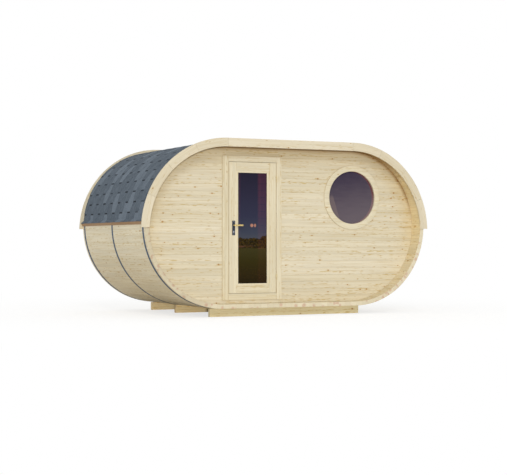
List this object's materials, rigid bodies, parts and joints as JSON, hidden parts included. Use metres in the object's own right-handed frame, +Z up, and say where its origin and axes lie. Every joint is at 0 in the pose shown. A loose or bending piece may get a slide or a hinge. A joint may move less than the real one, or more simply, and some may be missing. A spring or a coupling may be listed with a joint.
{
  "type": "oval barrel sauna",
  "caption": "Oval barrel sauna of softwood staves on cross beams, with a recessed front, a glazed door, a round window, a shingle roof, curved verge boards and eave battens.",
  "frame": {"origin": "on the ground under the middle of the building", "axes": "+X along the front from the door towards the window, -Y out of the front, +Z up"},
  "size_m": [4.4586, 2.536, 2.425],
  "materials": {
    "beams": "sawn, untreated",
    "staves": "planed, untreated",
    "wall_boards": "planed, untreated",
    "floor_wood": "planed, untreated",
    "shingles": "mineral surfaced bitumen",
    "eave_wood": "stained reddish brown",
    "verge_wood": "planed, untreated",
    "frame_wood": "planed, untreated",
    "leaf_wood": "planed, untreated",
    "pane_glass": "tinted, clear",
    "band_steel": "dull zinc",
    "hinge_steel": "satin zinc",
    "lock_metal": "dark, satin",
    "lever_brass": "polished"
  },
  "bodies": {
    "building": {"beam_front": "beams", "beam_middle": "beams", "beam_rear": "beams", "barrel_floor": "staves", "barrel_lower_left": "staves", "barrel_lower_right": "staves", "barrel_upper_left": "staves", "barrel_upper_right": "staves", "barrel_ceiling": "staves", "front_wall_left": "wall_boards", "front_wall_over_door": "wall_boards", "front_wall_under_door": "wall_boards", "front_wall_right": "wall_boards", "rear_wall": "wall_boards", "floor_joists": "floor_wood", "floor_boards": "floor_wood", "roof_left": "shingles", "roof_top": "shingles", "roof_right": "shingles", "eave_battens": "eave_wood", "verge_front": "verge_wood", "verge_rear": "verge_wood", "door_jamb_left": "frame_wood", "door_jamb_right": "frame_wood", "door_head": "frame_wood", "door_sill": "frame_wood", "door_casing_sides": "frame_wood", "door_casing_ends": "frame_wood", "window_lining": "frame_wood", "window_ring_outside": "frame_wood", "window_ring_inside": "frame_wood", "window_pane": "pane_glass", "tension_bands": "band_steel", "hinge_frame_halves": "hinge_steel"},
    "door": {"door_stile_left": "leaf_wood", "door_stile_right": "leaf_wood", "door_rail_top": "leaf_wood", "door_rail_bottom": "leaf_wood", "door_beads": "leaf_wood", "door_pane": "pane_glass", "hinge_leaf_halves": "hinge_steel", "lock_plates": "lock_metal"},
    "lever": {"door_lever": "lever_brass"}
  },
  "joints": [
    {"name": "door_swing", "type": "hinge", "parent": "building", "child": "door", "pos_m": [-0.1345, -1.059, 0], "axis": [0, 0, 1], "range_deg": [0, 115]},
    {"name": "lever_press", "type": "hinge", "parent": "door", "child": "lever", "pos_m": [-0.793, -1.045, 1.246], "axis": [0, 1, 0], "range_deg": [0, 40], "stiffness_Nm_per_rad": 1.5, "springref_deg": -34.38}
  ]
}
